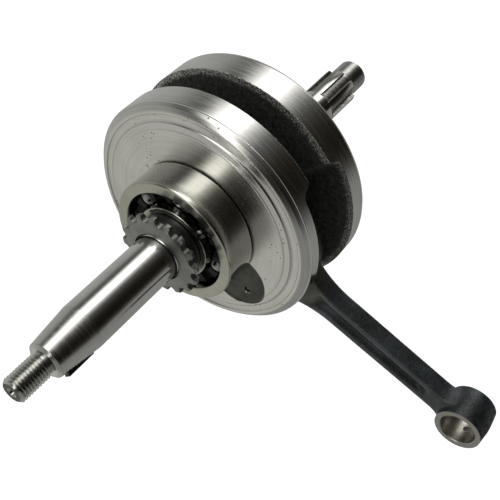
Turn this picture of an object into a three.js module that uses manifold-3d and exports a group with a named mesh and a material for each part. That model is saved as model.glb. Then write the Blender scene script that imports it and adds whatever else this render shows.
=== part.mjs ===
// A pressed-together crankshaft for a small four-stroke engine, with its connecting
// rod, big-end needle bearing, left main ball bearing, cam-chain sprocket and key.
// The crank axis is Y, with the flywheel taper at -Y and the splined end at +Y.
// The origin is on the crank axis, midway between the two webs. Millimetres, +Z up.

import * as THREE from 'three';
import { mergeVertices } from 'three/addons/utils/BufferGeometryUtils.js';
import Module from 'manifold-3d';

const wasm = await Module();
wasm.setup();

// ---- Driving sizes --------------------------------------------------------------

// Where things stand at rest, in degrees in the XZ plane, from +X towards +Z
const pinAngle = -48.6;
const rodAngle = -23;
const ballAngle = 35;
const splineAngle = 85.5;

// Crank webs; distances along Y are from the middle plane
const throwRadius = 33.1;
const webRadius = 58.5;
const webFace = 24.35;
const counterweightFace = 7.5;
const reliefFace = 14.6;
const counterweightEdge = 7.9;
const rimCornerWidth = 2.7;
const rimCornerDepth = 0.5;
const rimLip = 4.35;
const rimStepLength = 0.5;
const rimStepDepth = 0.75;
const rimLipWidth = 3.3;
const rimRingWidth = 1.4;
const outerRingSetback = 1;
const faceGrooveWidth = 6.8;
const faceGrooveDepth = 1.4;
const rightRimLip = 1.6;
const rightRimLipWidth = 0.8;

// Crank pin and big-end needle bearing
const pinRadius = 15.5;
const pinRecess = 0.6;
const needleRadius = 2;
const needleCount = 14;
const needleLength = 16.4;
const needleSlack = 0.15;
const needleCageWidth = 19.6;
const needleCageWall = 2.4;
const washerThickness = 1;
const washerRim = 1.5;

// Oil gallery
const galleryRadius = 1.5;
const galleryOffset = 7.6;
const feedRadius = 2.5;
const plugDepth = 1;

// Connecting rod
const rodLength = 121.6;
const bigEndWidth = 22;
const bigEndWall = 5.5;
const smallEndBore = 8.5;
const smallEndWall = 3.5;
const smallEndWidth = 17.5;
const smallEndDraft = 0.7;
const smallEndLand = 1.5;
const shankThickness = 10.7;
const shankRootHalf = 6.8;
const shankTipHalf = 6.2;
const bigEndFillet = 44;
const smallEndFillet = 14;
const flangeWidth = 2.6;
const shankWebThickness = 3.6;
const rodOilHole = 1.5;
const rodOilHoleAngle = -52.8;

// Left main ball bearing, 25 x 62 x 17
const journalRadius = 12.5;
const bearingSection = 18.5;
const bearingWidth = 17;
const ballRadius = 5.75;
const ballCount = 7;
const ballSlack = 0.15;
const raceGrooveRadius = 5.95;
const innerLand = 5.7;
const outerLand = 5.5;
const ringChamfer = 1;
const cageHeight = 5;
const cageBack = 1.1;
const cageProngReach = 5;

// Left shaft: journal, sprocket seat, plain shaft, taper and thread
const shoulderRadius = 17;
const shoulderHeight = 0.5;
const sprocketSeatStep = 0.5;
const sprocketSeatShort = 1.2;
const shaftStep = 1;
const taperStart = 100.3;
const taperLength = 20.7;
const taperEndRadius = 8.75;
const noseLength = 1.5;
const leftThreadRadius = 5.9;
const leftThreadRelief = 5.2;
const reliefLength = 1.7;
const leftThreadLength = 15.2;
const threadChamfer = 1.3;
const centreDrillRadius = 2;
const centreDrillDepth = 2.4;

// Right shaft: journal, plain shaft, spline and thread
const rightJournalEnd = 42.4;
const rightShaftStep = 1.5;
const gearShoulder = 62;
const splineRadius = 10;
const splineRoot = 8.3;
const splineCount = 7;
const splineWidth = 3.1;
const splineStart = 86;
const splineRunout = 9;
const splineEnd = 101;
const rightThreadRadius = 8;
const rightThreadLength = 14.8;
const rightThreadChamfer = 1.8;

// Cam-chain sprocket and key
const toothCount = 16;
const chainPitch = 7.774;
const rollerRadius = 2.45;
const toothTip = 20.8;
const toothAngle = 5.5;
const sprocketThickness = 3;
const bossRadius = 15.4;
const bossLength = 6.6;
const hubRise = 1;
const hubFoot = 17.2;
const hubBevel = 2;
const keyWidth = 4;
const keyDiscRadius = 7.5;
const keyTop = 10.85;
const keyDepth = 5.4;
const keyMiddle = 110.9;

// Clearances
const pressGap = 0.08;
const faceGap = 0.3;
const runGap = 0.15;
const washerBoreGap = 0.4;
const bigEndSweepGap = 1.5;
const pocketGap = 0.25;

// Facets round a full circle
const webSides = 72;
const shaftSides = 36;
const pinSides = 48;
const raceSides = 48;
const smallSides = 12;

// ---- Derived sizes --------------------------------------------------------------

const sprocketSeatRadius = journalRadius - sprocketSeatStep;
const shaftRadius = sprocketSeatRadius - shaftStep;
const bearingBack = webFace + shoulderHeight;
const bearingFront = bearingBack + bearingWidth;
const bearingMiddle = (bearingBack + bearingFront) / 2;
const bearingOuterRadius = journalRadius + bearingSection;
const ballPitch = (journalRadius + bearingOuterRadius) / 2;
const sprocketBack = bearingFront + faceGap;
const toothBack = sprocketBack + bossLength;
const toothFront = toothBack + sprocketThickness;
const sprocketFront = toothFront + hubRise;
const seatEnd = sprocketFront - sprocketSeatShort;
const sprocketPitchRadius = chainPitch / 2 / Math.sin(Math.PI / toothCount);
const bigEndBore = pinRadius + 2 * needleRadius;
const bigEndRadius = bigEndBore + bigEndWall;
const needlePitch = pinRadius + needleRadius;
const bossFace = bigEndWidth / 2 + washerThickness + 2 * runGap;
const smallEndRadius = smallEndBore + smallEndWall;
const pinX = throwRadius * Math.cos(THREE.MathUtils.degToRad(pinAngle));
const pinZ = throwRadius * Math.sin(THREE.MathUtils.degToRad(pinAngle));

// ---- Materials ------------------------------------------------------------------

const metal = (color, roughness) => new THREE.MeshStandardMaterial({ color, roughness, metalness: 1 });
const groundSteel = metal(0xb4b0a8, 0.28);
const bearingSteel = metal(0xc4c2bc, 0.2);
const ballSteel = metal(0xd8d8d8, 0.08);
const sprocketSteel = metal(0x77767a, 0.5);
const pinSteel = metal(0x55554c, 0.45);
const keySteel = metal(0x1c1c1e, 0.5);
const washerSteel = metal(0xa79a7c, 0.35);
const forgedSteel = metal(0x23292c, 0.42);
const nylon = new THREE.MeshStandardMaterial({ color: 0x121212, roughness: 0.5, metalness: 0 });

// ---- Solids ---------------------------------------------------------------------

const radians = THREE.MathUtils.degToRad;

// Signed volume of a triangle list, which is negative when its faces point inwards
function signedVolume(points, triangles) {
  const corners = [new THREE.Vector3(), new THREE.Vector3(), new THREE.Vector3()];
  let sum = 0;
  for (let i = 0; i < triangles.length; i += 3) {
    corners.forEach((corner, k) => corner.fromArray(points, 3 * triangles[i + k]));
    sum += corners[0].dot(corners[1].cross(corners[2])) / 6;
  }
  return sum;
}

// Closed solid from a three.js geometry
function solid(geometry) {
  if (geometry instanceof wasm.Manifold) return geometry;
  const plain = geometry.clone();
  plain.deleteAttribute('normal');
  plain.deleteAttribute('uv');
  const merged = mergeVertices(plain, 1e-4);
  const points = merged.attributes.position.array;
  const kept = [];
  for (let i = 0; i < merged.index.count; i += 3) {
    const [a, b, c] = [0, 1, 2].map((k) => merged.index.getX(i + k));
    if (a !== b && b !== c && c !== a) kept.push(a, b, c);
  }
  if (signedVolume(points, kept) < 0) kept.reverse();
  return new wasm.Manifold(new wasm.Mesh({
    numProp: 3,
    vertProperties: new Float32Array(points),
    triVerts: new Uint32Array(kept),
  }));
}

const join = (first, ...others) => others.reduce((sum, piece) => sum.add(solid(piece)), solid(first));
const cut = (first, ...tools) => tools.reduce((rest, tool) => rest.subtract(solid(tool)), solid(first));

// Solid of revolution about Y from [radius, height] pairs
function turned(outline, sides) {
  return new THREE.LatheGeometry(outline.map(([r, y]) => new THREE.Vector2(r, y)), sides);
}

// Round bar along Y, with its axis at x, z
function bar(radius, from, to, sides, x = 0, z = 0) {
  return new THREE.CylinderGeometry(radius, radius, to - from, sides).translate(x, (from + to) / 2, z);
}

// Flat ring round Y
function ring(inner, outer, from, to, sides) {
  return turned([[inner, from], [outer, from], [outer, to], [inner, to], [inner, from]], sides);
}

// Shape drawn in X and Z, made thick along Y
function plate(shape, from, to) {
  const options = { depth: to - from, bevelEnabled: false, curveSegments: 24 };
  return new THREE.ExtrudeGeometry(shape, options).rotateX(Math.PI / 2).translate(0, to, 0);
}

function block(x0, x1, y0, y1, z0, z1) {
  return new THREE.BoxGeometry(x1 - x0, y1 - y0, z1 - z0)
    .translate((x0 + x1) / 2, (y0 + y1) / 2, (z0 + z1) / 2);
}

// Bar along X, for drilled holes
function crossBar(radius, from, to, y) {
  return new THREE.CylinderGeometry(radius, radius, to - from, smallSides)
    .rotateZ(Math.PI / 2).translate((from + to) / 2, y, 0);
}

function part(name, shape, material) {
  const mesh = solid(shape).getMesh();
  const geometry = new THREE.BufferGeometry();
  geometry.setAttribute('position', new THREE.BufferAttribute(mesh.vertProperties, 3));
  geometry.setIndex(new THREE.BufferAttribute(mesh.triVerts, 1));
  geometry.computeVertexNormals();
  const piece = new THREE.Mesh(geometry, material);
  piece.name = name;
  return piece;
}

// ---- Crank halves; both are drawn with the crank pin towards +X --------------------

// The left web's outer face: a stepped rim, a narrow ring and a shallow groove
function leftWebFace() {
  const ringOuter = webRadius - rimLipWidth;
  const ringInner = ringOuter - rimRingWidth;
  const grooveInner = ringInner - faceGrooveWidth;
  return [
    [webRadius, webFace - rimLip],
    [webRadius - rimStepDepth, webFace - rimLip + rimStepLength],
    [ringOuter, webFace - outerRingSetback],
    [ringInner, webFace - outerRingSetback],
    [(ringInner + grooveInner) / 2, webFace - faceGrooveDepth],
    [grooveInner, webFace],
  ];
}

// The right web's outer face is flat up to a small bevel
function rightWebFace() {
  return [
    [webRadius, webFace - rightRimLip],
    [webRadius - rightRimLipWidth, webFace],
  ];
}

// One web as turned, before the pin side is relieved
function webDisc(side) {
  const outline = [
    [0, counterweightFace],
    [webRadius - rimCornerWidth, counterweightFace],
    [webRadius, counterweightFace + rimCornerDepth],
    ...(side < 0 ? leftWebFace() : rightWebFace()),
    [0, webFace],
  ];
  return turned(outline.map(([r, y]) => [r, side * y]), webSides);
}

// What the forging lacks on the pin side: a flat relief and room for the big end
function pinSideRelief(side) {
  const near = Math.min(side * reliefFace, 0);
  const far = Math.max(side * reliefFace, 0);
  const slab = block(counterweightEdge, 2 * webRadius, near, far, -2 * webRadius, 2 * webRadius);
  return join(slab, bar(bigEndRadius + bigEndSweepGap, near, far, pinSides, throwRadius));
}

function span(side, from, to) {
  return side > 0 ? [from, to] : [-to, -from];
}

function relievedWeb(side) {
  const boss = bar(bigEndRadius - washerRim, ...span(side, bossFace, reliefFace + 1), pinSides, throwRadius);
  return join(cut(webDisc(side), pinSideRelief(side)), boss);
}

// The pin's hole goes through the web, and through the shoulder where they meet
function pinHole(side) {
  return bar(pinRadius + pressGap, ...span(side, 0, 2 * webFace), pinSides, throwRadius);
}

// Left shaft outline, from the web outwards
function leftShaft() {
  const taperEnd = taperStart + taperLength;
  const reliefStart = taperEnd + noseLength;
  const threadStart = reliefStart + reliefLength;
  const shaftEnd = threadStart + leftThreadLength;
  const outline = [
    [0, webFace - 1],
    [shoulderRadius, webFace - 1],
    [shoulderRadius, bearingBack],
    [journalRadius, bearingBack],
    [journalRadius, bearingFront],
    [sprocketSeatRadius, bearingFront],
    [sprocketSeatRadius, seatEnd],
    [shaftRadius, seatEnd + shaftStep],
    [shaftRadius, taperStart],
    [taperEndRadius, taperEnd],
    [leftThreadRelief, reliefStart],
    [leftThreadRelief, threadStart - (leftThreadRadius - leftThreadRelief)],
    [leftThreadRadius, threadStart],
    [leftThreadRadius, shaftEnd - threadChamfer],
    [leftThreadRadius - threadChamfer, shaftEnd],
    [centreDrillRadius, shaftEnd],
    [0, shaftEnd - centreDrillDepth],
  ];
  return turned(outline.map(([r, y]) => [r, -y]), shaftSides);
}

// Round disc that both the key and its slot are cut to
function keyDisc(clearance) {
  const centre = keyTop - keyDepth + keyDiscRadius;
  return new THREE.CylinderGeometry(keyDiscRadius + clearance, keyDiscRadius + clearance,
    keyWidth + 2 * clearance, raceSides)
    .rotateX(Math.PI / 2).translate(centre, -keyMiddle, 0);
}

function crankHalfLeft() {
  return cut(join(relievedWeb(-1), leftShaft()), pinHole(-1), keyDisc(pressGap));
}

// Right shaft outline, from the web outwards
function rightShaft() {
  const shaftEnd = splineEnd + rightThreadLength;
  return turned([
    [0, webFace - 1],
    [shoulderRadius, webFace - 1],
    [shoulderRadius, bearingBack],
    [journalRadius, bearingBack],
    [journalRadius, rightJournalEnd],
    [journalRadius - rightShaftStep, rightJournalEnd],
    [journalRadius - rightShaftStep, gearShoulder],
    [splineRadius, gearShoulder],
    [splineRadius, splineEnd - threadChamfer / 2],
    [splineRadius - threadChamfer / 2, splineEnd],
    [rightThreadRadius, splineEnd],
    [rightThreadRadius, shaftEnd - rightThreadChamfer],
    [rightThreadRadius - rightThreadChamfer, shaftEnd],
    [0, shaftEnd],
  ], shaftSides);
}

// Grooves between the splines, which run out where the cutter lifted
function splineGrooves() {
  const outside = splineRadius + 1;
  const rise = splineRadius - splineRoot;
  const runoutSteps = 4;
  const runout = [];
  for (let i = 0; i <= runoutSteps; i += 1) {
    const share = i / runoutSteps;
    runout.push([splineRoot + rise * share * share, splineStart - splineRunout * share]);
  }
  const sleeve = solid(turned([
    [splineRoot, splineEnd],
    ...runout,
    [outside, splineStart - splineRunout],
    [outside, splineEnd + 1],
    [splineRoot, splineEnd + 1],
    [splineRoot, splineEnd],
  ], shaftSides));
  const teeth = [];
  for (let i = 0; i < splineCount; i += 1) {
    const turn = radians(pinAngle - splineAngle) - (2 * Math.PI * i) / splineCount;
    teeth.push(block(0, 2 * outside, gearShoulder, splineEnd + 2, -splineWidth / 2, splineWidth / 2)
      .rotateY(turn));
  }
  return cut(sleeve, ...teeth);
}

function crankHalfRight() {
  const galleryHeight = (bossFace + webFace) / 2;
  const feed = bar(feedRadius, galleryHeight - feedRadius, splineEnd + rightThreadLength + 1, smallSides);
  const branch = crossBar(galleryRadius, 0, throwRadius - pinRadius + 1, galleryHeight);
  return cut(join(relievedWeb(1), rightShaft()), pinHole(1), splineGrooves(), feed, branch);
}

// ---- Crank pin and big end; drawn round the pin's own axis --------------------------

function crankPin() {
  const end = webFace - pinRecess;
  const galleryHeight = (bossFace + webFace) / 2;
  return cut(
    bar(pinRadius, -end, end, pinSides),
    bar(galleryRadius, -end - 1, galleryHeight + galleryRadius, smallSides, galleryOffset),
    crossBar(galleryRadius, galleryOffset, pinRadius + 1, 0),
    crossBar(galleryRadius, -pinRadius - 1, galleryOffset, galleryHeight),
  );
}

function galleryPlug() {
  const radius = galleryRadius - pressGap;
  return new THREE.SphereGeometry(radius, smallSides, smallSides / 2)
    .translate(galleryOffset, -webFace + pinRecess + plugDepth + radius, 0);
}

function needleAt(index, radius, length) {
  const turn = (2 * Math.PI * index) / needleCount;
  return bar(radius, -length / 2, length / 2, smallSides, needlePitch).rotateY(turn);
}

function needleCage() {
  const half = needleCageWidth / 2;
  const sleeve = ring(needlePitch - needleCageWall / 2, needlePitch + needleCageWall / 2, -half, half, pinSides);
  const reach = needleLength / 2 + runGap;
  const width = needleRadius + pocketGap;
  const pockets = [];
  for (let i = 0; i < needleCount; i += 1) {
    pockets.push(block(pinRadius, bigEndBore, -reach, reach, -width, width)
      .rotateY((2 * Math.PI * i) / needleCount));
  }
  return cut(sleeve, ...pockets);
}

function thrustWasher(side) {
  const from = bigEndWidth / 2 + runGap;
  return ring(pinRadius + washerBoreGap, bigEndRadius - washerRim,
    ...span(side, from, from + washerThickness), pinSides);
}

// ---- Connecting rod; drawn with the small end towards +X ----------------------------

// Half the shank's height at a distance from the big end, blended into both ends
function shankHalf(x, filletFrom, filletTo) {
  const along = (x - filletFrom) / (filletTo - filletFrom);
  const straight = shankRootHalf + (shankTipHalf - shankRootHalf) * along;
  if (x < filletFrom) {
    return shankRootHalf + bigEndFillet - Math.sqrt(bigEndFillet ** 2 - (filletFrom - x) ** 2);
  }
  if (x > filletTo) {
    return shankTipHalf + smallEndFillet - Math.sqrt(smallEndFillet ** 2 - (x - filletTo) ** 2);
  }
  return straight;
}

// Where a fillet of this radius meets the shank, measured from the end's centre
function filletReach(endRadius, fillet, half) {
  return Math.sqrt((endRadius + fillet) ** 2 - (half + fillet) ** 2);
}

// Closed outline of the shank between two distances, drawn in by an inset
function shankShape(from, to, inset) {
  const filletFrom = filletReach(bigEndRadius, bigEndFillet, shankRootHalf);
  const filletTo = rodLength - filletReach(smallEndRadius, smallEndFillet, shankTipHalf);
  const steps = 14;
  const edge = [];
  for (let i = 0; i <= steps; i += 1) {
    const x = from + ((to - from) * i) / steps;
    edge.push(new THREE.Vector2(x, shankHalf(x, filletFrom, filletTo) - inset));
  }
  const mirrored = edge.map((point) => new THREE.Vector2(point.x, -point.y)).reverse();
  return new THREE.Shape([...edge, ...mirrored]);
}

// Small end before it is bored; forging draft makes it slimmer towards its faces
function smallEndBoss() {
  const half = smallEndWidth / 2;
  const faceRadius = smallEndRadius - smallEndDraft;
  return turned([
    [0, -half],
    [faceRadius, -half],
    [smallEndRadius, -smallEndLand],
    [smallEndRadius, smallEndLand],
    [faceRadius, half],
    [0, half],
  ], shaftSides).translate(rodLength, 0, 0);
}

function connectingRod() {
  const bigEndTangent = bigEndRadius / (bigEndRadius + bigEndFillet);
  const smallEndTangent = smallEndRadius / (smallEndRadius + smallEndFillet);
  const bigReach = filletReach(bigEndRadius, bigEndFillet, shankRootHalf);
  const smallReach = filletReach(smallEndRadius, smallEndFillet, shankTipHalf);
  const shankFrom = bigReach * bigEndTangent;
  const shankTo = rodLength - smallReach * smallEndTangent;
  const halfShank = shankThickness / 2;
  const shank = plate(shankShape(shankFrom, shankTo, 0), -halfShank, halfShank);
  const bigEnd = bar(bigEndRadius, -bigEndWidth / 2, bigEndWidth / 2, pinSides);
  const smallEnd = smallEndBoss();

  const recessFrom = bigEndRadius + flangeWidth * 2;
  const recessTo = rodLength - smallEndRadius - flangeWidth * 2;
  const recess = shankShape(recessFrom, recessTo, flangeWidth);
  const recesses = [-1, 1].map((side) => plate(recess, ...span(side, shankWebThickness / 2, shankThickness)));

  const oilHole = new THREE.CylinderGeometry(rodOilHole, rodOilHole, 2 * smallEndRadius, smallSides)
    .rotateZ(Math.PI / 2)
    .translate(smallEndRadius, 0, 0)
    .rotateY(-radians(rodOilHoleAngle))
    .translate(rodLength, 0, 0);
  const bores = [
    bar(bigEndBore, -bigEndWidth, bigEndWidth, pinSides),
    bar(smallEndBore, -smallEndWidth, smallEndWidth, shaftSides, rodLength),
  ];
  return cut(join(shank, bigEnd, smallEnd), ...recesses, ...bores, oilHole);
}

// ---- Main bearing; drawn round the crank axis, centred on its own middle -------------

// Groove that the balls run in, on one side of the ball circle
function raceGroove(side, land) {
  const depth = ballPitch - land;
  const edge = Math.sqrt(raceGrooveRadius ** 2 - depth ** 2);
  const edgeAngle = Math.atan2(edge, depth);
  const steps = 6;
  const points = [];
  for (let i = 0; i <= steps; i += 1) {
    const angle = edgeAngle * (1 - (2 * i) / steps);
    points.push([ballPitch - side * raceGrooveRadius * Math.cos(angle), raceGrooveRadius * Math.sin(angle)]);
  }
  return points;
}

function outerRing() {
  const half = bearingWidth / 2;
  const land = bearingOuterRadius - outerLand;
  const groove = raceGroove(-1, 2 * ballPitch - land);
  const outline = [
    [bearingOuterRadius - ringChamfer, half],
    [bearingOuterRadius, half - ringChamfer],
    [bearingOuterRadius, ringChamfer - half],
    [bearingOuterRadius - ringChamfer, -half],
    [land, -half],
    ...groove.reverse(),
    [land, half],
  ];
  return turned([...outline, outline[0]], raceSides);
}

function innerRing() {
  const half = bearingWidth / 2;
  const land = journalRadius + innerLand;
  const bore = journalRadius + pressGap;
  const outline = [
    [bore, -half],
    [land - ringChamfer / 2, -half],
    [land, ringChamfer / 2 - half],
    ...raceGroove(1, land).reverse(),
    [land, half - ringChamfer / 2],
    [land - ringChamfer / 2, half],
    [bore, half],
  ];
  return turned([...outline, outline[0]], shaftSides);
}

function ball(index) {
  const turn = radians(-ballAngle) - (2 * Math.PI * index) / ballCount;
  return new THREE.SphereGeometry(ballRadius - ballSlack, smallSides, 10)
    .translate(ballPitch, 0, 0).rotateY(turn);
}

// Snap cage: a closed rim behind the balls, and prongs that reach round them in front
function ballCage() {
  const inner = ballPitch - cageHeight / 2;
  const outer = ballPitch + cageHeight / 2;
  const back = ballRadius + cageBack;
  const body = ring(inner, outer, -cageProngReach, back, raceSides);
  const tools = [];
  for (let i = 0; i < ballCount; i += 1) {
    const turn = radians(-ballAngle) - (2 * Math.PI * i) / ballCount;
    const pocket = new THREE.SphereGeometry(ballRadius + pocketGap, smallSides, smallSides);
    tools.push(pocket.translate(ballPitch, 0, 0).rotateY(turn));
  }
  return cut(body, ...tools);
}

// ---- Sprocket and key ----------------------------------------------------------------

// One gap between teeth is a round roller seat; the flanks open towards the tips
function sprocketShape() {
  const shape = new THREE.Shape();
  const seatSteps = 5;
  const toothStep = (2 * Math.PI) / toothCount;
  const tipHalfAngle = toothStep * 0.17;
  for (let i = 0; i < toothCount; i += 1) {
    const middle = radians(toothAngle - pinAngle) + i * toothStep;
    const seat = middle + toothStep / 2;
    for (const turn of [-tipHalfAngle, tipHalfAngle]) {
      const x = toothTip * Math.cos(middle + turn);
      const z = toothTip * Math.sin(middle + turn);
      if (i === 0 && turn < 0) shape.moveTo(x, z);
      else shape.lineTo(x, z);
    }
    const centreX = sprocketPitchRadius * Math.cos(seat);
    const centreZ = sprocketPitchRadius * Math.sin(seat);
    for (let k = 0; k <= seatSteps; k += 1) {
      const angle = seat - Math.PI / 2 - (Math.PI * k) / seatSteps;
      shape.lineTo(centreX + rollerRadius * Math.cos(angle), centreZ + rollerRadius * Math.sin(angle));
    }
  }
  return shape;
}

function sprocket() {
  const teeth = plate(sprocketShape(), -toothFront, -toothBack);
  const boss = bar(bossRadius, -toothBack - 1, -sprocketBack, shaftSides);
  const hub = turned([
    [0, -toothFront + 1],
    [hubFoot, -toothFront + 1],
    [hubFoot, -toothFront],
    [bossRadius - hubBevel, -sprocketFront],
    [0, -sprocketFront],
  ], shaftSides);
  const bore = bar(sprocketSeatRadius + pressGap, -sprocketFront - 1, -sprocketBack + 1, shaftSides);
  return cut(join(teeth, boss, hub), bore);
}

function key() {
  return cut(keyDisc(0), block(keyTop, 3 * keyTop, -2 * keyMiddle, 0, -keyWidth, keyWidth));
}

// ---- Assembly --------------------------------------------------------------------------

const crankshaft = new THREE.Group();

// Pieces that turn with the crank pin towards +X, then swung to where it stands
const crank = new THREE.Group();
crank.rotation.y = -radians(pinAngle);
crank.add(part('crank_half_left', crankHalfLeft(), groundSteel));
crank.add(part('crank_half_right', crankHalfRight(), groundSteel));
crank.add(part('cam_chain_sprocket', sprocket(), sprocketSteel));
crank.add(part('flywheel_key', key(), keySteel));
crankshaft.add(crank);

const pinPieces = new THREE.Group();
pinPieces.position.x = throwRadius;
pinPieces.add(part('crank_pin', crankPin(), pinSteel));
pinPieces.add(part('oil_gallery_plug', galleryPlug(), ballSteel));
pinPieces.add(part('thrust_washer_left', thrustWasher(-1), washerSteel));
pinPieces.add(part('thrust_washer_right', thrustWasher(1), washerSteel));
pinPieces.add(part('big_end_needle_cage', needleCage(), pinSteel));
for (let i = 0; i < needleCount; i += 1) {
  pinPieces.add(part(`big_end_needle_${i + 1}`, needleAt(i, needleRadius - needleSlack, needleLength), ballSteel));
}
crank.add(pinPieces);

const rod = new THREE.Group();
rod.position.set(pinX, 0, pinZ);
rod.rotation.y = -radians(rodAngle);
rod.add(part('connecting_rod', connectingRod(), forgedSteel));
crankshaft.add(rod);

const bearing = new THREE.Group();
bearing.position.y = -bearingMiddle;
bearing.add(part('main_bearing_outer_ring', outerRing(), bearingSteel));
bearing.add(part('main_bearing_ball_cage', ballCage(), nylon));
for (let i = 0; i < ballCount; i += 1) {
  bearing.add(part(`main_bearing_ball_${i + 1}`, ball(i), ballSteel));
}
crankshaft.add(bearing);

// The inner ring turns with the crank, so its facets line up with the journal's
const innerRingPlace = new THREE.Group();
innerRingPlace.position.y = -bearingMiddle;
innerRingPlace.add(part('main_bearing_inner_ring', innerRing(), bearingSteel));
crank.add(innerRingPlace);

export default crankshaft;
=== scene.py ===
# Looks of a pressed-together crankshaft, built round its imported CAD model.
# Metres, in the CAD frame: the crank axis is Y, the flywheel taper is at -Y, and +Z is up.

import math

import bmesh
import bpy
import numpy as np
from mathutils import Matrix, Vector


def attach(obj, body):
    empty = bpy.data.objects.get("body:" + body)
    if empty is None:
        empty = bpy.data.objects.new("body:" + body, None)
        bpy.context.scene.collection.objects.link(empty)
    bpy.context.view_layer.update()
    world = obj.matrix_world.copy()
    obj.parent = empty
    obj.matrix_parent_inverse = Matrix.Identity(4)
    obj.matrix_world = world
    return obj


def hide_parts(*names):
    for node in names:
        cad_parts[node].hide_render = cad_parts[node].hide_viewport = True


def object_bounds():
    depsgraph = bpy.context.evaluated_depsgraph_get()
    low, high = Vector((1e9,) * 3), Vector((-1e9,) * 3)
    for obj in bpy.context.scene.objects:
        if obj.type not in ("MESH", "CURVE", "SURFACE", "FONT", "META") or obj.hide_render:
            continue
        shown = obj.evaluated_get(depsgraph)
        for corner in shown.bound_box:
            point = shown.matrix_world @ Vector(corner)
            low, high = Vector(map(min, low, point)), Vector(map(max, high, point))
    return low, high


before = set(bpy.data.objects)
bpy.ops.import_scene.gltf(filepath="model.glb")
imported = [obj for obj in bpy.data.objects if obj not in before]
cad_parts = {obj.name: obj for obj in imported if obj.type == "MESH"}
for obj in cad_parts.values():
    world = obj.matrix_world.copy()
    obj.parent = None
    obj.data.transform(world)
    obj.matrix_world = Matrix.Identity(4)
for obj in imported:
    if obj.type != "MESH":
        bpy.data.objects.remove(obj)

cad_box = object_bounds()
MM = 0.001

# ---- Sizes, in millimetres ----

PIN_ANGLE = -48.6
ROD_ANGLE = -23.0
BALL_ANGLE = 35.0
SPLINE_ANGLE = 85.5

THROW = 33.1
PIN_X = THROW * math.cos(math.radians(PIN_ANGLE))
PIN_Z = THROW * math.sin(math.radians(PIN_ANGLE))
WEB_RADIUS = 58.5
WEB_FACE = 24.35
COUNTERWEIGHT_FACE = 7.5
RELIEF_FACE = 14.6
COUNTERWEIGHT_EDGE = 7.9
PIN_RADIUS = 15.5
PIN_RECESS = 0.6
PRESS_GAP = 0.08
GALLERY_OFFSET = 7.6
GALLERY_RADIUS = 1.5
NEEDLE_COUNT = 14
NEEDLE_RADIUS = 1.85
NEEDLE_LENGTH = 16.4
NEEDLE_PITCH = 17.5
WASHER_GAP = 0.15
WASHER_THICKNESS = 1.0
WASHER_BORE = PIN_RADIUS + 0.4
WASHER_RADIUS = 23.5

ROD_LENGTH = 121.6
BIG_BORE = 19.5
BIG_RADIUS = 25.0
BIG_HALF = 11.0
SMALL_BORE = 8.5
SMALL_RADIUS = 12.0
SMALL_FACE_RADIUS = 11.3
SMALL_HALF = 8.75
OIL_HOLE_ANGLE = -52.8
OIL_HOLE_RADIUS = 1.5
SHANK_FACE = 5.35
SHANK_WEB = 1.8

JOURNAL = 12.5
SHOULDER = 17.0
SHAFT = 11.0
BEARING_BACK = 24.85
BEARING_FRONT = 41.85
BEARING_MIDDLE = (BEARING_BACK + BEARING_FRONT) / 2
BEARING_OUTER = 31.0
OUTER_RING = 5.5
INNER_RING = 5.7
BALL_PITCH = 21.75
BALL_RADIUS = 5.6
BALL_COUNT = 7
GROOVE_RADIUS = 5.95
CAGE_HALF = 2.5
CAGE_FRONT = 5.0
CAGE_BACK = 6.85
POCKET_RADIUS = 6.0
SCALLOP_RADIUS = 3.4
SCALLOP_OFFSET = 5.6
SPROCKET_SEAT = JOURNAL - 0.5
SPROCKET_SEAT_SHORT = 1.2
SPROCKET_BACK = 42.15
TOOTH_BACK = 48.75
TOOTH_FRONT = 51.75
HUB_FRONT = 52.75
HUB_BACK_RADIUS = 15.4
HUB_FOOT_RADIUS = 17.2
HUB_FRONT_RADIUS = 13.4
TOOTH_COUNT = 16
TOOTH_ANGLE = 5.5
TOOTH_TIP = 20.8
CHAIN_PITCH = 7.774
ROLLER_SEAT = 2.45
TAPER_START = 100.3
TAPER_END = 121.0
TAPER_END_RADIUS = 8.75
KEY_PLACE = 110.9
KEY_RADIUS = 7.5
KEY_TOP = 10.85
KEY_DEPTH = 5.4
KEY_CENTRE = KEY_TOP - KEY_DEPTH + KEY_RADIUS
KEY_HALF = 2.0
LEFT_THREAD = 5.9
LEFT_THREAD_DEPTH = 0.95
LEFT_THREAD_PITCH = 1.5
LEFT_THREAD_START = 124.2
LEFT_END = 139.4
RIGHT_END = 115.8
RIGHT_JOURNAL_END = 42.4
RIGHT_SHAFT_END = 62.0
SPLINE_COUNT = 7
SPLINE_RADIUS = 10.0
SPLINE_ROOT = 8.3
SPLINE_HALF_WIDTH = 1.55
SPLINE_LAND_ANGLE = math.asin(SPLINE_HALF_WIDTH / SPLINE_RADIUS)
SPLINE_START = 86.0
SPLINE_RUNOUT = 9.0
SPLINE_END = 101.0
RIGHT_THREAD = 8.0
RIGHT_THREAD_DEPTH = 0.6
RIGHT_THREAD_PITCH = 1.0
RIGHT_BORE = 2.5
RIGHT_BORE_END = 40.0

# ---- Camera ----

AZIMUTH = math.radians(34.72)
ELEVATION = math.radians(45.34)
camera_data = bpy.data.cameras.new("camera")
camera_data.sensor_width = 36
camera_data.lens = 64.69
camera_data.clip_start = 0.01
camera = bpy.data.objects.new("camera", camera_data)
camera.location = (0.18720, -0.25215, 0.27815)
camera.rotation_euler = (math.pi / 2 - ELEVATION, 0, AZIMUTH)
bpy.context.scene.collection.objects.link(camera)
bpy.context.scene.camera = camera

# ---- Mesh helpers ----


def add_object(name, mesh):
    obj = bpy.data.objects.new(name, mesh)
    bpy.context.scene.collection.objects.link(obj)
    return obj


def edit_mesh(mesh, change):
    """Run a change on the mesh while it is open for editing."""
    bm = bmesh.new()
    bm.from_mesh(mesh)
    change(bm)
    bm.to_mesh(mesh)
    bm.free()


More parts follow.
